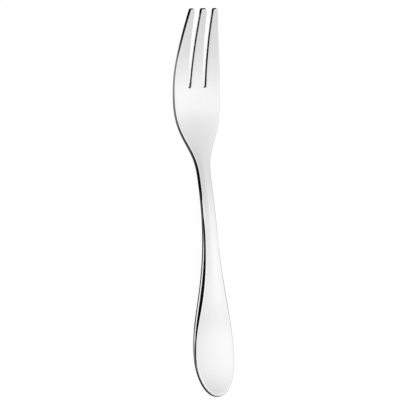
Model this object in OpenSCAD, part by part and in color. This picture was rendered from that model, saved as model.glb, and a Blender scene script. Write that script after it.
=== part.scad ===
/* [Lengths along the fork] */
// From the end of the handle to its widest point
end_l = 18; // [13:0.5:22]
// From the handle's widest point to the waist
taper_l = 69.5; // [55:0.5:82]
// From the handle's widest point to its thickest
swell_l = 21; // [15:0.5:28]
// From the waist to the head's widest point
shoulder_l = 37.5; // [32:0.5:46]
// From the head's widest point to the tips
tip_l = 25; // [20:0.5:32]
// Length of the neck, with the waist at its middle
neck_l = 24; // [18:1:30]
// Length of the slots between the tines
slot_l = 29.5; // [24:0.5:36]

/* [Widths] */
// Widest part of the handle
grip_w = 17; // [13:0.1:21]
// Narrowest part of the fork
waist_w = 5.3; // [4.4:0.1:7.5]
// Widest part of the head
head_w = 19.7; // [17:0.1:24]
// Across the outer edges of the tips
tip_span = 11.8; // [11:0.1:14]
// Between the outer walls of the two slots
slot_span = 8; // [7.2:0.1:8.7]
// Middle tine at the tip
middle_tip_w = 2.4; // [2:0.05:2.8]
// Middle tine at the root of the slots
middle_root_w = 5.3; // [4.4:0.1:6]

/* [Thickness] */
// Flat end of the handle, up to its widest point
grip_t = 2.5; // [2:0.1:3]
// Thickest part of the handle
swell_t = 3.7; // [3.3:0.1:4.2]
// At the waist
waist_t = 2.1; // [1.7:0.1:2.6]
// At the head's widest point
head_t = 2; // [1.6:0.1:2.4]
// At the tips
tip_t = 1.8; // [1.4:0.05:2.1]
// Extra height of the handle's upper face along its middle
crown_h = 0.3; // [0.1:0.05:0.6]

/* [Side profile] */
// From the end of the handle to the seat that it rests on
heel_at = 19; // [15:0.5:23]
// From that seat to the top of the arch
heel_to_arch = 49.5; // [42:0.5:57]
// From the top of the arch to the belly of the head
arch_to_belly = 42.5; // [36.5:0.5:48.5]
// Height of the underside at the top of the arch
arch_h = 3.9; // [2:0.1:7]
// Height of the underside at the tips
tip_h = 12.3; // [9:0.1:18]
// Height of the underside at the end of the handle
end_h = 1.7; // [0.8:0.1:2.4]
// Depth of the head, from its edges to its middle
dish_d = 0.2; // [0.1:0.05:0.6]
// Depth that is ground off the underside to make the seat
seat_cut = 0.1; // [0.05:0.01:0.2]
// Length over which the turns of the outline and the profile are softened
soft_l = 8; // [4:0.5:12]

/* [Edges] */
// Rounding of the edges at the end of the handle
grip_edge_r = 0.7; // [0.4:0.05:0.9]
// Rounding of the edges where the handle is thickest
swell_edge_r = 1.6; // [1:0.05:1.8]
// Rounding of the edges at the waist
waist_edge_r = 0.5; // [0.3:0.05:0.8]
// Rounding of the outer edges of the head and the tines
head_edge_r = 0.35; // [0.2:0.05:0.5]
// Rounding of the edges inside the slots, and across the tips
slot_edge_r = 0.3; // [0.1:0.05:0.4]
// Rounding of the corners of the tips, seen from above
tip_corner_r = 0.55; // [0.3:0.05:0.65]

/* [Hidden] */
steel = "gainsboro";

// How full or how lopsided each curve is: exponents, not sizes
end_fullness = 2.13;
end_lift_power = 3;
taper_power = 1.76;
shoulder_power = 1.84;
side_power = 1.17;
sweep_power = 1.66;
tine_power = 1.2;

// Places along the fork, from the end of the handle
swell_at = end_l + swell_l;
waist_at = end_l + taper_l;
head_at = waist_at + shoulder_l;
length = head_at + tip_l;
arch_at = heel_at + heel_to_arch;
belly_at = arch_at + arch_to_belly;
neck_from = waist_at - neck_l / 2;
neck_to = waist_at + neck_l / 2;
slot_root_at = length - slot_l;

// Steps of the mesh: rings along each piece, and points across a ring
end_rings = 12;
taper_rings = 22;
neck_rings = 14;
head_rings = 14;
root_rings = 5;
tine_rings = 14;
tip_rings = 4;
corner_steps = 4;
soft_steps = 4;
handle_steps = 8;
head_steps = 12;
tine_steps = 3;

// Place of the first ring, and the most that a rounded edge takes of half a ring, as shares
first_share = 0.01;
band_share = 0.8;
// Step over which slopes are measured, and how far a cut runs past the surface
probe = length / 5000;
overrun = grip_t;
// Smallest rounding, where the slots begin
sharp_r = slot_edge_r / 20;

function mix(a, b, share) = a + (b - a) * share;
function ease(t) = (1 - cos(180 * t)) / 2;
function steep_ease(t) = t * t * t * (t * (6 * t - 15) + 10);
function skewed(t, power) = 1 - pow(1 - t, power);
function round_share(t) = sqrt(1 - pow(1 - min(1, max(0, t)), 2));

// Mean of a function over a reach to either side of a place, which rounds off its turns
function softened(f, at, reach) =
    let (values = [for (k = [-soft_steps : soft_steps]) f(at + reach * k / soft_steps)])
    values * [for (v = values) 1] / len(values);

// A size that turns at the fork's widest, thickest and narrowest places
function turning(at, grip, swell, waist, head, tip) =
    at < end_l ? grip
    : at < swell_at ? mix(grip, swell, ease((at - end_l) / swell_l))
    : at < waist_at
        ? mix(swell, waist, ease(skewed((at - swell_at) / (waist_at - swell_at), taper_power)))
    : at < head_at ? mix(waist, head, ease((at - waist_at) / shoulder_l))
    : mix(head, tip, (at - head_at) / tip_l);

// Thickness, square to the surface, and the rounding of the outer edges
function thickness(at) =
    softened(function (a) turning(a, grip_t, swell_t, waist_t, head_t, tip_t), at, soft_l / 2);
function edge_r(at) =
    turning(at, grip_edge_r, swell_edge_r, waist_edge_r, head_edge_r, head_edge_r);

// Half of the fork's width at a place along it
function plain_half_width(at) =
    at < end_l ? grip_w / 2 * pow(1 - pow(1 - at / end_l, end_fullness), 1 / end_fullness)
    : at < waist_at
        ? mix(grip_w, waist_w, ease(skewed((at - end_l) / taper_l, taper_power))) / 2
    : at < head_at
        ? mix(waist_w, head_w, steep_ease(skewed((at - waist_at) / shoulder_l, shoulder_power))) / 2
    : mix(head_w, tip_span, pow((at - head_at) / tip_l, side_power)) / 2;
function half_width(at) =
    softened(function (a) plain_half_width(a), at, min(soft_l / 2, max(0, at - end_l)));

// Height of the middle of the underside above the table, and its slope
function plain_underside(at) =
    at < heel_at ? mix(-seat_cut, end_h, pow((heel_at - at) / heel_at, end_lift_power))
    : at < arch_at ? mix(-seat_cut, arch_h, ease((at - heel_at) / heel_to_arch))
    : at < belly_at ? arch_h * ease((belly_at - at) / arch_to_belly)
    : tip_h * pow((at - belly_at) / (length - belly_at), sweep_power);
function underside(at) = softened(function (a) plain_underside(a), at, soft_l / 2);
function slope(at) = atan((underside(at + probe) - underside(at - probe)) / (2 * probe));

// How far the head's edges stand above its middle
function dish(at) =
    at < waist_at ? 0
    : at < head_at ? dish_d * steep_ease((at - waist_at) / shoulder_l)
    : dish_d * steep_ease((length - at) / tip_l);

// How far the upper face's middle stands above its edges
function crown(at) =
    at < end_l ? crown_h * half_width(at) * 2 / grip_w
    : at < waist_at ? crown_h
    : at < head_at ? crown_h * steep_ease((head_at - at) / shoulder_l)
    : 0;

// Distance from a place on the face to the outline, seen from above
function outline_stretch(at) =
    let (from = max(0, at - probe), to = at + probe)
    sqrt(1 + pow((half_width(to) - half_width(from)) / (to - from), 2));
function end_gap(x, at) =
    let (u = abs(x) * 2 / grip_w, w = 1 - at / end_l, less = end_fullness - 1)
    (1 - pow(u, end_fullness) - pow(w, end_fullness)) / end_fullness
    / max(first_share / end_l, norm([pow(u, less) * 2 / grip_w, pow(w, less) / end_l]));
function outline_gap(x, at) =
    at < end_l ? end_gap(x, at) : (half_width(at) - abs(x)) / outline_stretch(at);

// Thickness that an edge's rounding takes off each face at a distance inside the edge
function edge_loss(gap, r) = r * (1 - round_share(gap / r));

// Half of the middle tine's width, and the radius of the slots' round roots
function middle_half(at) =
    mix(middle_root_w, middle_tip_w, 1 - pow((length - at) / slot_l, tine_power)) / 2;
root_r = (slot_span - middle_root_w) / 4;

// The middle of a slot, and its two walls, which part round its root
function slot_middle(at) = (slot_span / 2 + middle_half(at)) / 2;
function slot_half(at) =
    (slot_span / 2 - middle_half(at)) / 2 * round_share((at - slot_root_at) / root_r);
function inner_wall(at) = slot_middle(at) - slot_half(at);
function outer_wall(at) = slot_middle(at) + slot_half(at);

// Distance to the outline near the end of a tine, from the distances to its side and its end
function corner_gap(side, end) =
    side < tip_corner_r && end < tip_corner_r
        ? tip_corner_r - norm([tip_corner_r - side, tip_corner_r - end])
    : min(side, end);

// Places across a ring, closer together in the rounded bands at its edges
function spread(left, right, left_band, right_band, steps) = concat(
    [for (k = [0 : corner_steps]) left + left_band * (1 - cos(90 * k / corner_steps))],
    [for (k = [1 : steps - 1]) mix(left + left_band, right - right_band, k / steps)],
    [for (k = [corner_steps : -1 : 0]) right - right_band * (1 - cos(90 * k / corner_steps))]
);

// A ring in the fork's frame: the underside from left to right, then the upper face back again
function ring(at, places, losses) =
    let (a = slope(at), t = thickness(at), half = half_width(at), last = len(places) - 1,
         lower = [for (i = [0 : last]) [places[i], losses[i]]],
         upper = [for (i = [last : -1 : 0])
             [places[i], t - losses[i] + crown(at) * (1 - pow(places[i] / half, 2))]])
    [for (p = concat(lower, upper))
        let (v = p[1] + dish(at) * pow(p[0] / half, 2))
        [p[0], at - length / 2 - v * sin(a), underside(at) + v * cos(a)]];

// A ring across the whole fork
function full_ring(at, steps) =
    let (half = half_width(at), r = edge_r(at),
         band = min(r * outline_stretch(at), half * band_share),
         places = spread(-half, half, band, band, steps))
    ring(at, places, [for (x = places) edge_loss(outline_gap(x, at), r)]);

// A ring across one tine: side is -1 for the left tine, 0 for the middle one, 1 for the right one
function tine_ring(at, side) =
    let (end = length - at,
         cut = tip_corner_r * (1 - round_share(end / tip_corner_r)),
         inner_r = max(sharp_r, slot_edge_r * min(1, slot_half(at) / root_r)),
         left = side == -1 ? -half_width(at) : side == 0 ? -inner_wall(at) : outer_wall(at),
         right = side == -1 ? -outer_wall(at) : side == 0 ? inner_wall(at) : half_width(at),
         left_r = side == -1 ? head_edge_r : inner_r,
         right_r = side == 1 ? head_edge_r : inner_r,
         places = spread(left + cut, right - cut, left_r, right_r, tine_steps))
    ring(at, places, [for (x = places)
        max(edge_loss(corner_gap(x - left, end), left_r),
            edge_loss(corner_gap(right - x, end), right_r))]);

// A closed solid through rings that have as many points each, half of them on the underside
module loft(rings) {
    n = len(rings[0]);
    last = len(rings) - 1;
    sides = [for (i = [0 : last - 1], k = [0 : n - 1])
        [i * n + k, i * n + (k + 1) % n, (i + 1) * n + (k + 1) % n, (i + 1) * n + k]];
    start_cap = [for (k = [0 : n / 2 - 2]) [k, n - 1 - k, n - 2 - k, k + 1]];
    end_cap = [for (q = start_cap) [for (k = [3 : -1 : 0]) last * n + q[k]]];
    polyhedron(points = [for (r = rings) each r],
               faces = [for (q = concat(start_cap, sides, end_cap))
                   each [[q[0], q[1], q[2]], [q[0], q[2], q[3]]]],
               convexity = 4);
}

module handle() {
    ends = [for (k = [0 : end_rings - 1])
        end_l * (1 - cos(90 * max(first_share, k / end_rings)))];
    taper = [for (k = [0 : taper_rings]) mix(end_l, neck_from, k / taper_rings)];
    color(steel)
    difference() {
        loft([for (at = concat(ends, taper)) full_ring(at, handle_steps)]);
        // The seat is ground level with the table
        translate([-grip_w, -length, -overrun])
        cube([2 * grip_w, length, overrun]);
    }
}

module neck() {
    places = [for (k = [0 : neck_rings]) mix(neck_from, neck_to, k / neck_rings)];
    color(steel)
    loft([for (at = places) full_ring(at, handle_steps)]);
}

module head() {
    places = [for (k = [0 : head_rings]) mix(neck_to, slot_root_at, k / head_rings)];
    color(steel)
    loft([for (at = places) full_ring(at, head_steps)]);
}

module tine(side) {
    root_to = slot_root_at + root_r;
    tip_from = length - tip_corner_r;
    root = [for (k = [0 : root_rings - 1]) slot_root_at + root_r * (1 - cos(90 * k / root_rings))];
    shaft = [for (k = [0 : tine_rings]) mix(root_to, tip_from, k / tine_rings)];
    tip = [for (k = [1 : tip_rings]) tip_from + tip_corner_r * sin(90 * k / tip_rings)];
    color(steel)
    loft([for (at = concat(root, shaft, tip)) tine_ring(at, side)]);
}

module tine_left() {
    tine(-1);
}

module tine_middle() {
    tine(0);
}

module tine_right() {
    tine(1);
}

handle();
neck();
head();
tine_left();
tine_middle();
tine_right();
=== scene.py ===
# %% [markdown]
# # A pastry fork in polished steel
# The packed CAD model comes first. It is the fixed frame: its nodes say where the fork is and how big
# it is, and nothing below moves them. Its own mesh could be shown, but polished steel would show the
# facets. So a smoother fork of the same sizes is built in its place, in metres.

# %% Open the packed model
import math
from types import SimpleNamespace

import bpy
import numpy as np
from mathutils import Matrix, Vector
from mathutils.geometry import delaunay_2d_cdt


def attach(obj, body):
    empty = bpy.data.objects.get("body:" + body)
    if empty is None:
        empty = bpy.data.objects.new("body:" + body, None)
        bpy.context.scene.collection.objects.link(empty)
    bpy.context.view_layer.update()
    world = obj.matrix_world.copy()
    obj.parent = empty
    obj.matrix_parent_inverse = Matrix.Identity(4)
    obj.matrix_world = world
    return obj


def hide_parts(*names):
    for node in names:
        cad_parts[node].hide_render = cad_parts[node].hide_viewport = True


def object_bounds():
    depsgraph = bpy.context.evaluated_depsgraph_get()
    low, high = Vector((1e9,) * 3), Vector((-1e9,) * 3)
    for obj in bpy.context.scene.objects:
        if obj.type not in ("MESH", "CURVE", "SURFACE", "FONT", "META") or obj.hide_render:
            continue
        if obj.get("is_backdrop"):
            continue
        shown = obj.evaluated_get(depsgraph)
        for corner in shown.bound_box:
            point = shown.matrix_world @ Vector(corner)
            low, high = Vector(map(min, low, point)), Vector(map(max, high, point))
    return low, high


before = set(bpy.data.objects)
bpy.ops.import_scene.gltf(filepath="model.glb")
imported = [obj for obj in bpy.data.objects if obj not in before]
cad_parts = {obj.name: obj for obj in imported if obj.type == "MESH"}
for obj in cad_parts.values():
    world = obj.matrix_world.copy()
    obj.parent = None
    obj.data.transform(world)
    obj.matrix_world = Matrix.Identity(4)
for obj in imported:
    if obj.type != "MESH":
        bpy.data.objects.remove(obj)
cad_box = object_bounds()
print("nodes:", sorted(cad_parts), "box:", [round(x, 4) for x in (*cad_box[0], *cad_box[1])])

# %% [markdown]
# ## The sizes
# The real fork starts as a flat blank that a press cuts from steel sheet. Rollers make it thicker or
# thinner along its length, a second press bends it, and polishing rounds its edges. Each step has a
# few sizes, and they are the ones that the CAD model was made from, in millimetres. They could be
# measured on the CAD nodes instead, but named sizes say what each one is for. Places are measured
# along the fork from the end of its handle.

# %% Places along the fork
MM = 0.001


class Places:
    """Places along the fork that follow from its lengths."""

    @property
    def swell_at(self):
        return self.end_l + self.swell_l

    @property
    def waist_at(self):
        return self.end_l + self.taper_l

    @property
    def head_at(self):
        return self.waist_at + self.shoulder_l

    @property
    def length(self):
        return self.head_at + self.tip_l

    @property
    def arch_at(self):
        return self.heel_at + self.heel_to_arch

    @property
    def belly_at(self):
        return self.arch_at + self.arch_to_belly


print("places by name:", [name for name in vars(Places) if not name.startswith("_")])

# %% Sizes of the fork
class Measures(Places, SimpleNamespace):
    """The sizes as plain numbers."""


FORK = Measures(
    end_l=18, taper_l=69.5, swell_l=21, shoulder_l=37.5, tip_l=25, slot_l=29.5,
    grip_w=17, waist_w=5.3, head_w=19.7, tip_span=11.8, slot_span=8,
    middle_tip_w=2.4, middle_root_w=5.3,
    grip_t=2.5, swell_t=3.7, waist_t=2.1, head_t=2, tip_t=1.8, crown_h=0.3,
    heel_at=19, heel_to_arch=49.5, arch_to_belly=42.5, arch_h=3.9, tip_h=12.3, end_h=1.7,
    dish_d=0.2, seat_cut=0.1, soft_l=8,
    grip_edge_r=0.7, swell_edge_r=1.6, waist_edge_r=0.5, head_edge_r=0.35, slot_edge_r=0.3,
    tip_corner_r=0.55,
    end_fullness=2.13, end_lift_power=3, taper_power=1.76, shoulder_power=1.84, side_power=1.17,
    sweep_power=1.66, tine_power=1.2)
print("the fork is", FORK.length, "mm long and", FORK.head_w, "mm across its head")

# %% [markdown]
# ## One set of rules for numbers and for nodes
# The same rules are needed twice. Plain numbers draw the outline of the blank, and a Geometry Nodes
# tree presses and bends it. They could be written once in Python and once in nodes, but then a change
# to one is soon forgotten in the other. A small class helps: it stands for a value in a tree, and
# Python's own signs, such as + and *, put Math nodes in the tree. So each rule is written once. In a
# rule, s stands for the sizes and at for the place along the fork.

# %% A value in a node tree
PLAIN = {"MAXIMUM": np.maximum, "MINIMUM": np.minimum, "POWER": np.power, "COSINE": np.cos}


def join(tree, value, socket):
    """Links a value of the tree to a socket, or sets the socket to a plain number."""
    if isinstance(value, Field):
        tree.links.new(value.socket, socket)
    else:
        socket.default_value = value


class Field:
    """A value in a node tree, which Python's own signs can work with."""

    def __init__(self, tree, socket):
        self.tree, self.socket = tree, socket

    def math(self, operation, *others):
        node = self.tree.nodes.new("ShaderNodeMath")
        node.operation = operation
        for socket, value in zip(node.inputs, (self, *others)):
            join(self.tree, value, socket)
        return Field(self.tree, node.outputs[0])

    def __add__(self, other):
        return self.math("ADD", other)

    def __sub__(self, other):
        return self.math("SUBTRACT", other)

    def __mul__(self, other):
        return self.math("MULTIPLY", other)

    def __truediv__(self, other):
        return self.math("DIVIDE", other)

    def __rsub__(self, other):
        return self.math("MULTIPLY_ADD", -1, other)

    def __rtruediv__(self, other):
        return self.math("POWER", -1) * other

    __radd__, __rmul__ = __add__, __mul__


def work(operation, first, *others):
    """One step of a rule, as a Math node for a tree's value and by NumPy for plain numbers."""
    if isinstance(first, Field):
        return first.math(operation, *others)
    return PLAIN[operation](first, *others)


print("operations for plain numbers:", ", ".join(PLAIN))

# %% Curves that the rules are made of
SOFT_STEPS = 4


def mix(a, b, share):
    return a + (b - a) * share


def ease(t):
    """From 0 to 1, level at both ends."""
    return (1 - work("COSINE", t * math.pi)) / 2


def steep_ease(t):
    """As ease, but steeper in the middle and flatter at the ends."""
    return t * t * t * (t * (t * 6 - 15) + 10)


def lopsided(t, power):
    """From 0 to 1, faster at the start where the power is above 1."""
    return 1 - work("POWER", 1 - t, power)


def share_of(at, start, long):
    """How far a place is along a stretch of the fork, from 0 to 1."""
    return work("MINIMUM", work("MAXIMUM", (at - start) / long, 0), 1)


def softened(rule, s, at, reach):
    """Mean of a rule over a reach to either side, which rounds off its turns."""
    shares = [k / SOFT_STEPS for k in range(-SOFT_STEPS, SOFT_STEPS + 1)]
    return sum(rule(s, at + reach * share) for share in shares) / len(shares)


print("ease at each quarter:", [round(float(ease(t)), 3) for t in (0.25, 0.5, 0.75)])

# %% Rules for the width
def roundness(s, at):
    """Share of the handle's width that its round end has."""
    inside = 1 - work("POWER", 1 - share_of(at, 0, s.end_l), s.end_fullness)
    return work("POWER", inside, 1 / s.end_fullness)


def plain_half_width(s, at):
    """Half of the fork's width, with a turn at the waist."""
    taper = lopsided(share_of(at, s.end_l, s.taper_l), s.taper_power)
    shoulder = lopsided(share_of(at, s.waist_at, s.shoulder_l), s.shoulder_power)
    tips = work("MAXIMUM", (at - s.head_at) / s.tip_l, 0)
    width = mix(roundness(s, at) * s.grip_w, s.waist_w, ease(taper))
    width = mix(width, s.head_w, steep_ease(shoulder))
    return mix(width, s.tip_span, work("POWER", tips, s.side_power)) / 2


def half_width(at):
    """Half of the fork's width, with the turn at the waist softened."""
    reach = np.minimum(FORK.soft_l / 2, np.maximum(0, at - FORK.end_l))
    return softened(plain_half_width, FORK, at, reach)


print("half widths, mm:", np.round(half_width(np.array([5.0, 17, 50, 87, 125, 150])), 2))

# %% Rules for the thickness and the rounding of the edges
def turning(s, at, grip, swell, waist, head, tip):
    """A size that turns at the fork's widest, thickest and narrowest places."""
    taper = lopsided(share_of(at, s.swell_at, s.waist_at - s.swell_at), s.taper_power)
    size = mix(grip, swell, ease(share_of(at, s.end_l, s.swell_l)))
    size = mix(size, waist, ease(taper))
    size = mix(size, head, ease(share_of(at, s.waist_at, s.shoulder_l)))
    return mix(size, tip, work("MAXIMUM", (at - s.head_at) / s.tip_l, 0))


def plain_thickness(s, at):
    return turning(s, at, s.grip_t, s.swell_t, s.waist_t, s.head_t, s.tip_t)


def edge_radius(s, at):
    return turning(s, at, s.grip_edge_r, s.swell_edge_r, s.waist_edge_r, s.head_edge_r, s.head_edge_r)


turns_at = (0, FORK.swell_at, FORK.waist_at, FORK.head_at, FORK.length)
for name, rule in (("thickness", plain_thickness), ("rounding", edge_radius)):
    print(name, "from the handle to the tips, mm:", [round(float(rule(FORK, at)), 2) for at in turns_at])

# %% Rules for the bend, the dish and the crown
def plain_underside(s, at):
    """Height of the underside's middle above the table."""
    end = work("MAXIMUM", (s.heel_at - at) / s.heel_at, 0)
    sweep = work("MAXIMUM", (at - s.belly_at) / (s.length - s.belly_at), 0)
    height = mix(s.seat_cut * -1, s.end_h, work("POWER", end, s.end_lift_power))
    height = mix(height, s.arch_h, ease(share_of(at, s.heel_at, s.heel_to_arch)))
    height = mix(height, 0, ease(share_of(at, s.arch_at, s.arch_to_belly)))
    return height + work("POWER", sweep, s.sweep_power) * s.tip_h


def dish(s, at):
    """How far the head's edges stand above its middle."""
    rise = steep_ease(share_of(at, s.waist_at, s.shoulder_l))
    return s.dish_d * rise * steep_ease(share_of(s.length - at, 0, s.tip_l))


def crown(s, at):
    """How far the middle of the upper face stands above its edges."""
    return s.crown_h * roundness(s, at) * steep_ease(share_of(s.head_at - at, 0, s.shoulder_l))


bends_at = (FORK.heel_at, FORK.arch_at, FORK.belly_at, FORK.length)
print("underside at the heel, the arch, the belly and the tips, mm:",
      [round(float(plain_underside(FORK, at)), 2) for at in bends_at])

# %% [markdown]
# ## The blank
# A press cuts the blank in one stroke, slots and all. Its edge is one closed line: round the handle,
# along the sides, over the rounded corners of the tines, and round the bottom of each slot. The slots
# could be cut afterwards with a Boolean modifier, but that leaves uneven faces that a mirror shows.
# Only the right half is worked out, because the other half is its mirror image. Straight parts need
# few points and tight corners need many, so each part of the line has its own spacing.

# %% The slots
SLOT_ROOT_AT = FORK.length - FORK.slot_l
ROOT_R = (FORK.slot_span - FORK.middle_root_w) / 4


def middle_half(at):
    """Half of the middle tine's width."""
    share = 1 - np.power(np.maximum(0, FORK.length - at) / FORK.slot_l, FORK.tine_power)
    return mix(FORK.middle_root_w, FORK.middle_tip_w, share) / 2


def slot_walls(at, open_share):
    """The two walls of the right slot, which are this share of the slot's width apart."""
    middle = (FORK.slot_span / 2 + middle_half(at)) / 2
    half = (FORK.slot_span / 2 - middle_half(at)) / 2 * open_share
    return middle - half, middle + half


def inner_wall(at):
    return slot_walls(at, 1)[0]


def outer_wall(at):
    return slot_walls(at, 1)[1]


tip_gap = outer_wall(FORK.length) - inner_wall(FORK.length)
print("a slot is", round(tip_gap, 2), "mm wide at the tips and", 2 * ROOT_R, "at its root")

# %% Parts of the line
SIDE_SAMPLES, SLOT_SAMPLES, SHORT_SAMPLES = 3000, 800, 400
SIDE_STEP, CORNER_STEP, END_STEP, SLOT_STEP = 0.4, 0.1, 0.15, 0.35
QUARTER = np.linspace(0, math.pi / 2, SHORT_SAMPLES)


def spaced(x, at, edge, step):
    """A part of the line as even steps, with the rounding that its edge gets."""
    walked = np.concatenate([[0], np.cumsum(np.hypot(np.diff(x), np.diff(at)))])
    stops = np.linspace(0, walked[-1], max(3, round(walked[-1] / step) + 1))
    return np.array([np.interp(stops, walked, v + 0 * x) for v in (x, at, edge)]).T


def corner(wall, sign, edge, backwards=False):
    """A tine's rounded corner: wall gives the side's place, and sign says which way the tine lies."""
    at = FORK.length - FORK.tip_corner_r * (1 - np.sin(QUARTER))
    x = wall(at) + sign * FORK.tip_corner_r * (1 - np.cos(QUARTER))
    order = slice(None, None, -1) if backwards else slice(None)
    return spaced(x[order], at[order], (edge + 0 * x)[order], CORNER_STEP)


print("a corner of a tine has", len(corner(inner_wall, -1, FORK.slot_edge_r)), "points")

# %% The edge of the blank
def half_outline():
    """The right half's parts, from the end of the handle to the middle of the middle tine's tip."""
    shape = 2 / FORK.end_fullness
    small = FORK.slot_edge_r
    fade = np.linspace(FORK.head_edge_r, small, SHORT_SAMPLES)
    end_at = FORK.end_l * (1 - np.cos(QUARTER) ** shape)
    side_at = np.linspace(FORK.end_l, FORK.length - FORK.tip_corner_r, SIDE_SAMPLES)
    slot_at = np.linspace(SLOT_ROOT_AT + ROOT_R, FORK.length - FORK.tip_corner_r, SLOT_SAMPLES)
    root_at = SLOT_ROOT_AT + ROOT_R * (1 - np.cos(QUARTER))
    root_in, root_out = slot_walls(root_at, np.sin(QUARTER))
    tip = FORK.length + 0 * QUARTER
    right_from, right_to = half_width(tip[0]) - FORK.tip_corner_r, outer_wall(tip[0]) + FORK.tip_corner_r
    middle_from = inner_wall(tip[0]) - FORK.tip_corner_r
    return [
        spaced(FORK.grip_w / 2 * np.sin(QUARTER) ** shape, end_at, edge_radius(FORK, end_at), SIDE_STEP),
        spaced(half_width(side_at), side_at, edge_radius(FORK, side_at), SIDE_STEP),
        corner(half_width, -1, fade),
        spaced(np.linspace(right_from, right_to, SHORT_SAMPLES), tip, small, END_STEP),
        corner(outer_wall, 1, small, backwards=True),
        spaced(outer_wall(slot_at[::-1]), slot_at[::-1], small, SLOT_STEP),
        spaced(root_out[::-1], root_at[::-1], small, CORNER_STEP),
        spaced(root_in, root_at, small, CORNER_STEP),
        spaced(inner_wall(slot_at), slot_at, small, SLOT_STEP),
        corner(inner_wall, -1, small),
        spaced(np.linspace(middle_from, 0, SHORT_SAMPLES), tip, small, END_STEP)]


parts = half_outline()
right_edge = np.concatenate([part[:-1] for part in parts] + [parts[-1][-1:]])
left_edge = right_edge[-2:0:-1] * [-1, 1, 1]
outline = np.concatenate([right_edge, left_edge])
print("the edge of the blank has", len(outline), "points")

# %% [markdown]
# ## A mesh that is fit for a mirror
# Polished steel shows every kink in a mesh. Bevel and Subdivision Surface modifiers could round the
# edges, but subdivision pulls a shape inwards, off the sizes of the CAD model. So the blank's points
# follow its edge: loops run side by side round it, in the band where the edge will be rounded, and
# the flat middle is filled with even triangles. The blank is one unit thick, and its height only
# says which face a point is on.

# %% Loops along the edge
EDGE_LOOPS = 8


def inward(line):
    """Unit arrows at right angles to the line, into the blank, also where the steps are uneven."""
    before, after = np.roll(line, 1, axis=0), np.roll(line, -1, axis=0)
    behind = np.linalg.norm(line - before, axis=1)[:, None]
    ahead = np.linalg.norm(after - line, axis=1)[:, None]
    way_on = behind ** 2 * (after - line) + ahead ** 2 * (line - before)
    way_on /= np.linalg.norm(way_on, axis=1)[:, None]
    return np.stack([-way_on[:, 1], way_on[:, 0]], axis=1)


turns = np.linspace(0, math.pi / 2, EDGE_LOOPS + 1)
arrows = inward(outline[:, :2])
loops = [outline[:, :2] + arrows * outline[:, 2:] * (1 - math.cos(turn)) for turn in turns]
print("loops round the edge:", len(loops), "and the widest band is", round(outline[:, 2].max(), 2), "mm")

# %% Points inside the last loop
FILL_STEP = 0.7
CLEARANCE = 0.45 * FILL_STEP


def crossings(line, at):
    """Where a closed line crosses one place along the fork, from left to right."""
    ahead = np.roll(line, -1, axis=0)
    hit = (line[:, 1] > at) != (ahead[:, 1] > at)
    a, b = line[hit], ahead[hit]
    return np.sort(a[:, 0] + (at - a[:, 1]) / (b[:, 1] - a[:, 1]) * (b[:, 0] - a[:, 0]))


def filling(line):
    """Even points inside a closed line that keep clear of it."""
    even = []
    for at in np.arange(FILL_STEP, FORK.length, FILL_STEP):
        ends = crossings(line, at)
        for a, b in zip(ends[::2], ends[1::2]):
            count = max(2, round((b - a) / FILL_STEP))
            even += [(x, at) for x in np.linspace(a, b, count + 1)[1:-1]]
    even = np.array(even)
    gaps = np.linalg.norm(even[:, None] - line[None], axis=2).min(axis=1)
    return even[gaps > CLEARANCE]


inside = filling(loops[-1])
print("points in the flat middle:", len(inside))

# %% Triangles inside the last loop
ONLY_INSIDE = 1
NEARLY_ZERO = 1e-7

flat = [Vector(p) for p in np.concatenate([loops[-1], inside])]
made = delaunay_2d_cdt(flat, [], [list(range(len(outline)))], ONLY_INSIDE, NEARLY_ZERO)
made_faces, first_points = made[2], made[3]
triangles = []
for face in made_faces:
    a, b, c = (first_points[i][0] for i in face)
    clockwise = (flat[b] - flat[a]).cross(flat[c] - flat[a]) < 0
    triangles.append((a, c, b) if clockwise else (a, b, c))
print("triangles in the flat middle:", len(triangles))

# %% The points of the blank
COUNT = len(outline)
WALL_RISES = (0.08, 0.35, 0.65, 0.92)


def face_points(rise):
    """All the points of one face of the blank: across, along, height, turn and edge rounding."""
    rings = [np.column_stack([loop, np.full(COUNT, rise), np.full(COUNT, turn), outline[:, 2]])
             for loop, turn in zip(loops, turns)]
    rest = len(inside)
    middle = np.column_stack([inside, np.full(rest, rise), np.full(rest, turns[-1]), np.ones(rest)])
    return np.concatenate([*rings, middle])


top, under = face_points(1), face_points(0)
wall_rings = [np.column_stack([outline[:, :2], np.full(COUNT, rise), np.zeros(COUNT), outline[:, 2]])
              for rise in WALL_RISES]
points = np.concatenate([top, under, *wall_rings])
print("the blank has", len(points), "points")

# %% The faces of the blank
def quads(low, high):
    """Quads between two loops of points, each given by the number of its first point."""
    return [(low + i, low + (i + 1) % COUNT, high + (i + 1) % COUNT, high + i) for i in range(COUNT)]


under_first, wall_first = len(top), len(top) + len(under)
last_loop = EDGE_LOOPS * COUNT
faces = []
for k in range(EDGE_LOOPS):
    faces += quads(k * COUNT, (k + 1) * COUNT)
    faces += [quad[::-1] for quad in quads(under_first + k * COUNT, under_first + (k + 1) * COUNT)]
faces += [tuple(last_loop + i for i in triangle) for triangle in triangles]
faces += [tuple(under_first + last_loop + i for i in triangle[::-1]) for triangle in triangles]
rings_up = [under_first, *(wall_first + k * COUNT for k in range(len(WALL_RISES))), 0]
for low, high in zip(rings_up, rings_up[1:]):
    faces += quads(low, high)

blank_mesh = bpy.data.meshes.new("blank")
blank_mesh.from_pydata(points[:, :3].tolist(), [], faces)
for name, values in (("turn", points[:, 3]), ("edge", points[:, 4]), ("half", half_width(points[:, 1]))):
    blank_mesh.attributes.new(name, "FLOAT", "POINT").data.foreach_set("value", values.astype(np.float32))
blank = bpy.data.objects.new("blank", blank_mesh)
bpy.context.scene.collection.objects.link(blank)
print("the blank has", len(faces), "faces")

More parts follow.
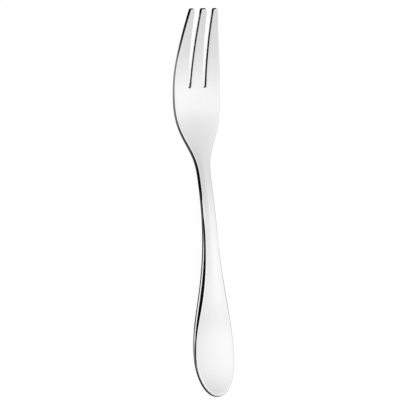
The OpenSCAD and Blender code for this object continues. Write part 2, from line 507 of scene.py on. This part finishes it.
# %% [markdown]
# ## The press
# One Geometry Nodes tree does what the rollers, the press and the polishing wheel do. Lattice and
# Curve modifiers could bend the blank by eye, but nodes can follow the very rules above. The tree
# gives every point of the blank its height, takes off the rounding of the edges, raises the crown,
# and lays the result along the fork's side profile. The sizes are named inputs of the tree, so that
# the bend and the thickness can be changed in Blender too. Each rule that is used many times is a
# small group of its own.

# %% Sizes as inputs of a tree
class TreeSizes(Places):
    """The sizes inside a tree. Each becomes a named input when a rule first asks for it."""

    def __init__(self, tree):
        self.tree = tree
        self.start = tree.nodes.new("NodeGroupInput")

    def __getattr__(self, name):
        socket = self.tree.interface.new_socket(name, in_out="INPUT", socket_type="NodeSocketFloat")
        socket.default_value = getattr(FORK, name, 0)
        value = Field(self.tree, self.start.outputs[name])
        setattr(self, name, value)
        return value


def grouped(title, rule):
    """Makes a rule a node group, and returns a function that puts this group in a tree."""
    tree = bpy.data.node_groups.new(title, "GeometryNodeTree")
    s = TreeSizes(tree)
    answer = rule(s, s.at)
    tree.interface.new_socket("result", in_out="OUTPUT", socket_type="NodeSocketFloat")
    tree.links.new(answer.socket, tree.nodes.new("NodeGroupOutput").inputs[0])
    print(title, "has", len(tree.nodes), "nodes")

    def placed(sizes, at):
        node = sizes.tree.nodes.new("GeometryNodeGroup")
        node.node_tree = tree
        for socket in node.inputs:
            join(sizes.tree, at if socket.name == "at" else getattr(sizes, socket.name), socket)
        return Field(sizes.tree, node.outputs[0])
    return placed


thickness_group = grouped("Thickness at a place", plain_thickness)
underside_group = grouped("Underside at a place", plain_underside)

# %% The tree that presses and bends
SLOPE_STEP = 0.25

press = bpy.data.node_groups.new("Press and bend the blank", "GeometryNodeTree")
press.interface.new_socket("Blank", in_out="INPUT", socket_type="NodeSocketGeometry")
press.interface.new_socket("Steel", in_out="INPUT", socket_type="NodeSocketMaterial")
press.interface.new_socket("Fork", in_out="OUTPUT", socket_type="NodeSocketGeometry")
s = TreeSizes(press)


def read(name):
    """A number that the blank keeps on each of its points."""
    node = press.nodes.new("GeometryNodeInputNamedAttribute")
    node.inputs["Name"].default_value = name
    return Field(press, node.outputs["Attribute"])


def underside(at):
    return softened(underside_group, s, at, s.soft_l / 2)


split = press.nodes.new("ShaderNodeSeparateXYZ")
press.links.new(press.nodes.new("GeometryNodeInputPosition").outputs[0], split.inputs[0])
across, at, rise = (Field(press, socket) for socket in split.outputs)

edgeward = across / read("half")
edgeward = edgeward * edgeward
loss = read("edge") * (1 - read("turn").math("SINE"))
upper = softened(thickness_group, s, at, s.soft_l / 2) - loss + crown(s, at) * (1 - edgeward)
height = mix(loss, upper, rise) + dish(s, at) * edgeward

slope = (underside(at + SLOPE_STEP) - underside(at - SLOPE_STEP)) / (2 * SLOPE_STEP)
stretch = (slope * slope + 1).math("SQRT")
along = at - s.length / 2 - height * slope / stretch
above = underside(at) + height / stretch

bent = press.nodes.new("ShaderNodeCombineXYZ")
for value, socket in zip((across * MM, along * MM, work("MAXIMUM", above, 0) * MM), bent.inputs):
    join(press, value, socket)
print("the press has", len(press.nodes), "nodes and", len(press.interface.items_tree), "inputs and outputs")

# %% The end of the tree
chain = ["GeometryNodeSetPosition", "GeometryNodeSetShadeSmooth", "GeometryNodeRealizeInstances",
         "GeometryNodeSetMaterial"]
geometry = s.start.outputs["Blank"]
for kind in chain:
    node = press.nodes.new(kind)
    press.links.new(geometry, node.inputs["Geometry"])
    geometry = node.outputs["Geometry"]
    if kind == "GeometryNodeSetPosition":
        press.links.new(bent.outputs[0], node.inputs["Position"])
    if kind == "GeometryNodeSetMaterial":
        press.links.new(s.start.outputs["Steel"], node.inputs["Material"])
press.links.new(geometry, press.nodes.new("NodeGroupOutput").inputs["Fork"])
print("the tree ends in", chain[-2:])

# %% [markdown]
# ## Mirror-polished steel
# Stainless steel cutlery is polished until it mirrors the room, so nearly all of its look is what it
# reflects. The greys of the photograph could be painted on it, but paint stays put when the fork is
# turned, and reflections slide. What is the steel's own is small: a neutral, slightly warm grey,
# hairlines that the polishing wheel leaves along the fork, and a waviness that bends reflections a
# little. Noise that is stretched along the fork makes the hairlines, and plain noise makes the rest.
# The edges, where the steel is rubbed most in use and in the dishwasher, are slightly duller.

# %% Patterns in the steel
def shader_node(tree, kind, **inputs):
    """A new node, with some of its inputs set to plain values."""
    node = tree.nodes.new(kind)
    for name, value in inputs.items():
        node.inputs[name.replace("_", " ")].default_value = value
    return node


steel = bpy.data.materials.new("polished_steel")
steel.use_nodes = True
steel_tree = steel.node_tree
where = steel_tree.nodes.new("ShaderNodeTexCoord").outputs["Object"]
lengthways = shader_node(steel_tree, "ShaderNodeMapping", Scale=(4000, 60, 4000))
steel_tree.links.new(where, lengthways.inputs["Vector"])


def noise(places, **inputs):
    """A cloudy pattern from 0 to 1."""
    node = shader_node(steel_tree, "ShaderNodeTexNoise", **inputs)
    steel_tree.links.new(places, node.inputs["Vector"])
    return node.outputs["Fac"]


hairlines = noise(lengthways.outputs[0], Scale=1.0, Detail=3.0, Roughness=0.6)
clouds = noise(where, Scale=55.0, Detail=4.0, Roughness=0.55)
waves = noise(where, Scale=90.0, Detail=1.0, Roughness=0.4)
print("the patterns take", len(steel_tree.nodes), "nodes")

# %% Colour and gloss of the steel
DARK_GREY, PALE_GREY = 0.848, 0.872
BLUE_SHARE = 0.994

skin = steel_tree.nodes["Principled BSDF"]
skin.inputs["Metallic"].default_value = 1.0
grain = steel_tree.nodes.new("ShaderNodeValToRGB")
for stop, position, grey in zip(grain.color_ramp.elements, (0.3, 0.7), (DARK_GREY, PALE_GREY)):
    stop.position = position
    stop.color = (grey, grey, grey * BLUE_SHARE, 1)
steel_tree.links.new(hairlines, grain.inputs["Fac"])
steel_tree.links.new(grain.outputs["Color"], skin.inputs["Base Color"])


def ranged(value, low, high, at_low, at_high):
    """Turns a range of values into another one."""
    node = shader_node(
        steel_tree, "ShaderNodeMapRange", From_Min=low, From_Max=high, To_Min=at_low, To_Max=at_high)
    steel_tree.links.new(value, node.inputs["Value"])
    return Field(steel_tree, node.outputs["Result"])


edge_turn = steel_tree.nodes.new("ShaderNodeAttribute")
edge_turn.attribute_name = "turn"
rubbed = ranged(edge_turn.outputs["Fac"], low=0.1, high=1.2, at_low=0.03, at_high=0.0)
dull = ranged(clouds, low=0.3, high=0.7, at_low=0.045, at_high=0.085)
join(steel_tree, dull + rubbed, skin.inputs["Roughness"])
print("greys of the steel:", DARK_GREY, "to", PALE_GREY)

# %% Relief of the steel
RELIEF = 0.00002

lines = shader_node(steel_tree, "ShaderNodeBump", Strength=0.05, Distance=RELIEF)
steel_tree.links.new(hairlines, lines.inputs["Height"])
ripple = shader_node(steel_tree, "ShaderNodeBump", Strength=0.15, Distance=RELIEF)
steel_tree.links.new(waves, ripple.inputs["Height"])
steel_tree.links.new(lines.outputs["Normal"], ripple.inputs["Normal"])
steel_tree.links.new(ripple.outputs["Normal"], skin.inputs["Normal"])
print("the steel has", len(steel_tree.nodes), "nodes")

# %% [markdown]
# ## Pressing the blank
# The press is put on the blank as a modifier, with the fork's sizes and the steel. It could stay
# live, but its result is kept as a plain mesh, and the blank is thrown away. The real fork is one
# piece of steel, so this one mesh stands for all six nodes of the CAD model.

# %% Press the blank and keep the result
pressing = blank.modifiers.new("press", "NODES")
pressing.node_group = press
for item in press.interface.items_tree:
    if item.in_out == "INPUT" and item.socket_type == "NodeSocketFloat":
        pressing[item.identifier] = float(getattr(FORK, item.name))
    elif item.in_out == "INPUT" and item.socket_type == "NodeSocketMaterial":
        pressing[item.identifier] = steel
graph = bpy.context.evaluated_depsgraph_get()
fork_mesh = bpy.data.meshes.new_from_object(blank.evaluated_get(graph), depsgraph=graph)
bpy.data.objects.remove(blank)
fork_mesh.name = "fork"
fork = bpy.data.objects.new("fork", fork_mesh)
bpy.context.scene.collection.objects.link(fork)
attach(fork, "root")
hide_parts("handle", "neck", "head", "tine_left", "tine_middle", "tine_right")
print("the fork has", sum(len(p.vertices) - 2 for p in fork_mesh.polygons), "triangles",
      [m.name for m in fork_mesh.materials])

# %% [markdown]
# ## The table
# The fork lies on a plain white table. A table of white paint alone comes out pale grey under soft
# light, and more light would spoil the steel. So a share of light of its own brings it up to pure
# white, for the camera and in reflections only. The rest of its light is the studio's, which keeps
# the fork's soft shadow.

# %% Helpers for the studio
def mixed(tree, factor, first, second):
    """The first shader where the factor is 0 and the second one where it is 1."""
    node = tree.nodes.new("ShaderNodeMixShader")
    join(tree, factor, node.inputs["Fac"])
    tree.links.new(first, node.inputs[1])
    tree.links.new(second, node.inputs[2])
    return node.outputs[0]


def stage_mesh(name, corners, faces, material):
    """A flat thing of the studio, in millimetres, which is not part of the fork."""
    mesh = bpy.data.meshes.new(name)
    mesh.from_pydata([tuple(c * MM for c in point) for point in corners], [], faces)
    mesh.materials.append(material)
    thing = bpy.data.objects.new(name, mesh)
    bpy.context.scene.collection.objects.link(thing)
    thing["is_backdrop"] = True
    return thing


print("helpers for the studio:", mixed.__name__, "and", stage_mesh.__name__)

# %% The floor
FLOOR_HALF = 3000
OWN_SHARE = 0.92
OWN_LIGHT = 1.03
WHITE_PAINT = 0.9

table = bpy.data.materials.new("white_table")
table.use_nodes = True
table_tree = table.node_tree
paint = table_tree.nodes["Principled BSDF"]
paint.inputs["Base Color"].default_value = (WHITE_PAINT, WHITE_PAINT, WHITE_PAINT, 1)
paint.inputs["Roughness"].default_value = 0.9
paint.inputs["Specular IOR Level"].default_value = 0.0
own_light = shader_node(table_tree, "ShaderNodeEmission", Strength=OWN_LIGHT)
ray = table_tree.nodes.new("ShaderNodeLightPath")
by_camera, in_mirror, in_glass = (
    Field(table_tree, ray.outputs[f"Is {kind} Ray"]) for kind in ("Camera", "Glossy", "Transmission"))
seen = work("MINIMUM", by_camera + in_mirror + in_glass, 1)
surface = mixed(table_tree, seen * OWN_SHARE, paint.outputs[0], own_light.outputs[0])
table_tree.links.new(surface, table_tree.nodes["Material Output"].inputs["Surface"])
square = [(x * FLOOR_HALF, y * FLOOR_HALF, 0) for x, y in ((-1, -1), (1, -1), (1, 1), (-1, 1))]
stage_mesh("floor", square, [range(4)], table)
print("the floor is", 2 * FLOOR_HALF, "mm wide")

# %% [markdown]
# ## Black cards
# On a white table polished steel hardly shows its edges: it needs something dark to mirror. Lines
# could be drawn along its edges, but they would not slide over the steel as reflections do. So black
# cards are cut for it, as a photographer does. Two of them stand to the fork's left, and draw the
# heavy black line along its left side. Where a card is higher, the line is wider. Only reflections
# see the cards.

# %% What the cards and the sheets are made of
# One material for the black cards and for the sheets on the table, most of which are a painted shadow of the
# fork. Each glows at its own tone, and this darkest one is for the cards and the deepest painted shadow.
BLACK = 0.0015

card_and_shadow_sheet = bpy.data.materials.new("card")
card_and_shadow_sheet.use_nodes = True
card_tree = card_and_shadow_sheet.node_tree
card_tree.nodes.remove(card_tree.nodes["Principled BSDF"])
glow = card_tree.nodes.new("ShaderNodeEmission")
own_tone = card_tree.nodes.new("ShaderNodeAttribute")
own_tone.attribute_name = "tone"
card_tree.links.new(own_tone.outputs["Fac"], glow.inputs["Strength"])
card_tree.links.new(glow.outputs[0], card_tree.nodes["Material Output"].inputs["Surface"])


def card(name, first, second, tones):
    """A sheet that only reflections see, between two lines of corners, with a tone for each pair of them."""
    count = len(first)
    faces = [(k, k + 1, count + k + 1, count + k) for k in range(count - 1)]
    sheet = stage_mesh(name, [*first, *second], faces, card_and_shadow_sheet)
    tone = sheet.data.attributes.new("tone", "FLOAT", "POINT")
    tone.data.foreach_set("value", np.array([*tones, *tones], dtype=np.float32))
    sheet.visible_camera = sheet.visible_diffuse = sheet.visible_shadow = False


print("a card's tone runs from", BLACK, "for black to 1 for white")

# %% The standing cards
STANDING = {
    "long_card": [
        (0, -98, 4), (-9, -95, 6), (-15.5, -87, 4), (-19, -75, 4), (-19.6, -70, 5), (-20, -65, 6),
        (-20, -60, 12), (-20, -56, 36), (-20, -22, 40), (-17, -12, 34), (-13, -4, 9), (-10, 2, 8),
        (-9, 6, 16), (-9, 13, 16), (-9, 17, 10), (-10, 22, 6), (-13, 28, 4), (-16, 34, 4), (-18, 42, 3)],
    "tine_card": [(-20, 58, 0), (-20, 64, 40), (-20, 110, 40)]}


def standing(name, line):
    """A black card that stands on a line, given by its across, its along and its height there."""
    card(name, [(x, y, 0) for x, y, card_h in line], line, [BLACK] * len(line))


for name, line in STANDING.items():
    standing(name, line)
    print(name, "stands up to", max(card_h for x, y, card_h in line), "mm high")

# %% [markdown]
# ## Painted shadow on the table
# Seen from above, the fork's upright walls mirror the table close beside them. The table is white, so
# sheets in greys and black lie on it. Under the fork and to its left they are a painted shadow of the
# fork, as the steel mirrors it, and to its right lies a grey sheet. They give each wall its tone. One
# sheet would do for a straight wall, but these turn and rise along the fork, so each stretch has its
# own. Two are cut to the handle's outline and draw the thin line under the heavy one. Under the slots
# lie white strips, which keep the dark lines there thin. The sheets lie a hair above each other, and
# only reflections see them.

# %% Painted shadow and a grey sheet beside the fork
LAYER = 0.01


def lying(name, layer, rows):
    """A sheet on the table that only reflections see: each row has its along, its left and right borders and its
    tone.
    """
    card(name, [(left, y, layer * LAYER) for y, left, right, tone in rows],
         [(right, y, layer * LAYER) for y, left, right, tone in rows], [row[3] for row in rows])


def straight(left, right, tones):
    """Rows between two straight borders, with a tone for each place along the fork."""
    return [(y, left, right, tone) for y, tone in tones.items()]


# The sheets under the neck and tines and left of the head are a painted shadow of the fork, as the steel mirrors
# it; the one to the right is a plain grey sheet.
SHADOW_AND_GREY_SHEETS = {
    "right_paper": (1, [
        (-95, 0, 60, 0.4), (-60, 12, 60, 0.25), (-20, 8, 60, 0.45), (20, 6, 60, 0.4), (30, 12, 60, 0.45),
        (110, 12, 60, 0.6)]),
    "slot_painted_shadow": (2, straight(-8.5, 25, {
        -17: 1, -9: 0.15, 0: 0.06, 8: BLACK, 14: 0.01, 20: 0.08, 34: 0.1, 42: 0.04, 50: 0.04, 62: BLACK,
        115: BLACK})),
    "head_painted_shadow": (2, straight(-25, -8.5, {
        -17: 1, -9: BLACK, 26: BLACK, 33: 0.17, 46: 0.27, 56: 0.27, 61: 0.1, 66: 0.03, 75: BLACK,
        115: BLACK}))}
for name, (layer, rows) in SHADOW_AND_GREY_SHEETS.items():
    lying(name, layer, rows)
    print(name, "lies from", rows[0][0], "to", rows[-1][0], "mm along the table")

# %% White strips under the slots
# For the camera, a spot on a wall mirrors the table to its left, about half as far off as it is high.
LEFT_PER_HEIGHT = 0.51
STRIP_ROWS = 40
FROM_ROOT, FROM_TIP = 2, 0.6
TO_RIGHT = 0.4


def strip_rows(wall, to_left):
    """Rows of a strip, which reaches this far left of the place that the foot of a wall mirrors."""
    rows = []
    for at in np.linspace(SLOT_ROOT_AT + FROM_ROOT, FORK.length - FROM_TIP, STRIP_ROWS):
        mirrored = wall(at) - LEFT_PER_HEIGHT * plain_underside(FORK, at)
        rows.append((float(at - FORK.length / 2), float(mirrored - to_left), float(mirrored + TO_RIGHT), 1))
    return rows


strips = {
    "middle_strip": strip_rows(lambda at: -middle_half(at), to_left=0.31),
    "right_strip": strip_rows(lambda at: FORK.slot_span / 2, to_left=0.05)}
for name, rows in strips.items():
    lying(name, 4, rows)
    print(name, "is", round(rows[0][2] - rows[0][1], 2), "mm wide")

# %% Painted shadow cut to the handle's outline
ABOVE_MIDDLE = 0.35
PAST_RIGHT = 0.3
ROUND_END, END_SHIFT = FORK.end_l - FORK.length / 2, 4
MARGIN = {-64: 1.2, -60: 1.3, -57: 1.3, -54: 0.9, -52: 0.6, -20: 0.55, -8: 0.75}
# Tones of the painted shadow under and beside the handle, from place to place.
SHADOW_TONE = {-80: 0.4, -76: BLACK, -64: BLACK, -60: 0.2, -56: 0.35, -50: 0.3, -46: 0.03, -20: 0.03, -8: 0.08}


def at_place(y, values):
    """A value at a place on the table, from the places where it is given."""
    return np.interp(y, list(values), list(values.values()))


def handle_row(y, shift, margin, tone):
    """One row of the painted shadow cut to the outline at a place that is shifted a little towards the tips.

    The margin is how far it reaches past the left wall, as a share of the wall's height there."""
    at = y + FORK.length / 2
    on_fork = max(at, 0)
    wall_height = plain_underside(FORK, on_fork) + plain_thickness(FORK, on_fork) / 2 + ABOVE_MIDDLE
    half = half_width(np.array(max(at + shift, 0)))
    return float(y), float(-half - margin * wall_height), float(half + PAST_RIGHT), float(tone)


# A painted shadow to the left of the handle, near its heel.
lying("far_painted_shadow", 2, straight(-19, 0, {-64: 0.9, -61: BLACK, -57: BLACK, -54: 0.5, -52: 1}))
HANDLE_PLACES, END_PLACES = np.arange(-79, -4.5, 1.0), np.arange(-76.25, -60, 0.5)

# The painted shadow under and beside the handle, and round its end.
handle_shadow_rows = [handle_row(y, 0 if y > ROUND_END else END_SHIFT, at_place(y, MARGIN), at_place(y, SHADOW_TONE))
               for y in HANDLE_PLACES]
end_shadow_rows = [handle_row(y, shift=1.5, margin=0.3, tone=0.02) for y in END_PLACES]
lying("handle_painted_shadow", 3, handle_shadow_rows)
lying("end_painted_shadow", 4, end_shadow_rows)
for name, rows in (("handle_painted_shadow", handle_shadow_rows), ("end_painted_shadow", end_shadow_rows)):
    print(name, "is up to", round(max(right - left for y, left, right, tone in rows), 1), "mm wide")

# %% [markdown]
# ## The studio
# The rest of the studio is soft white light from all around. Large lamps could give it, but their
# borders would show in the steel, and their light would be grainier. So it is painted on the world
# by direction. It is a little weaker just to the right of straight above and again further down on
# the right, and falls off towards the tips and the handle, which gives the steel its gentle greys.

# %% Light from all around
# Angles round the fork are in degrees: 0 is the far left, 90 straight above and 180 the far right.
# How far a direction leans to the tips or the handle goes from 0 across the fork to 1 along it.
FULL_LIGHT = 1.13
TOP_LOSS, RIGHT_LOSS = 0.18, 0.07
TIPS_LOSS, HANDLE_LOSS = 0.275, 0.26
SKY_TINT = (1, 1, 1.006, 1)


def between(value, low, high):
    """From 0 at low to 1 at high, with soft ends."""
    node = shader_node(value.tree, "ShaderNodeMapRange", From_Min=low, From_Max=high)
    node.interpolation_type = "SMOOTHSTEP"
    join(value.tree, value, node.inputs["Value"])
    return Field(value.tree, node.outputs["Result"])


world = bpy.data.worlds.new("studio")
bpy.context.scene.world = world
world.use_nodes = True
sky_tree = world.node_tree
around = sky_tree.nodes["Background"]
way = sky_tree.nodes.new("ShaderNodeSeparateXYZ")
sky_tree.links.new(sky_tree.nodes.new("ShaderNodeTexCoord").outputs["Generated"], way.inputs[0])
to_right, to_tips, up = (Field(sky_tree, socket) for socket in way.outputs)

from_left = up.math("ARCTAN2", to_right * -1) * (180 / math.pi)
near_top = between(from_left, 84, 100) * (1 - between(from_left, 104, 125))
on_right = between(from_left, 118, 134) * (1 - between(from_left, 155, 175))
fall = 1 - between(to_tips, -0.08, 0.4) * TIPS_LOSS - between(to_tips * -1, 0.21, 0.62) * HANDLE_LOSS
strength = (FULL_LIGHT - near_top * TOP_LOSS - on_right * RIGHT_LOSS) * fall
join(sky_tree, strength, around.inputs["Strength"])
around.inputs["Color"].default_value = SKY_TINT
print("the light takes", len(sky_tree.nodes), "nodes of the world")

# %% [markdown]
# ## The camera
# The camera looks down on the fork with a long lens, from 27 degrees to the left of straight above,
# so that the left walls show as they do in the photograph. The fork is turned a little in the
# picture. A Track To constraint could aim the camera, but a matrix of the picture's own directions
# gives the tilt and the turn at once, and leaves nothing live in the scene.

# %% The camera
TILT, ROLL = math.radians(27), math.radians(4.054)
DISTANCE = 0.7
PIXELS_PER_METRE = 2573.5
IMAGE_SIZE = 400
SENSOR = 36
ORIGIN_PIXEL = (201.78, 204.42)

over_table = Vector((math.cos(TILT), 0, math.sin(TILT)))
to_the_tips = Vector((0, 1, 0))
to_camera = Vector((-math.sin(TILT), 0, math.cos(TILT)))
image_right = over_table * math.cos(ROLL) - to_the_tips * math.sin(ROLL)
image_up = over_table * math.sin(ROLL) + to_the_tips * math.cos(ROLL)
off_x, off_y = ((p - IMAGE_SIZE / 2) / PIXELS_PER_METRE for p in ORIGIN_PIXEL)
spot = image_up * off_y - image_right * off_x + to_camera * DISTANCE

lens = bpy.data.cameras.new("camera")
lens.sensor_width = SENSOR
lens.lens = PIXELS_PER_METRE * DISTANCE * SENSOR / IMAGE_SIZE
lens.clip_start, lens.clip_end = 0.01, 20
camera = bpy.data.objects.new("camera", lens)
bpy.context.scene.collection.objects.link(camera)
camera.matrix_world = Matrix(
    [(image_right[i], image_up[i], to_camera[i], spot[i]) for i in range(3)] + [(0, 0, 0, 1)])
bpy.context.scene.camera = camera
bpy.context.scene.view_settings.view_transform = "Standard"
print("the lens is", round(lens.lens, 1), "mm long")

# %% [markdown]
# ## The two boxes
# The box of the finished fork is printed next to the CAD model's, because they have to be the same.

# %% Print the two boxes
boxes = {name: [list(corner) for corner in box] for name, box in (("cad", cad_box), ("visual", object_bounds()))}
for name, box in boxes.items():
    print(name, [[round(x * 1000, 3) for x in corner] for corner in box])
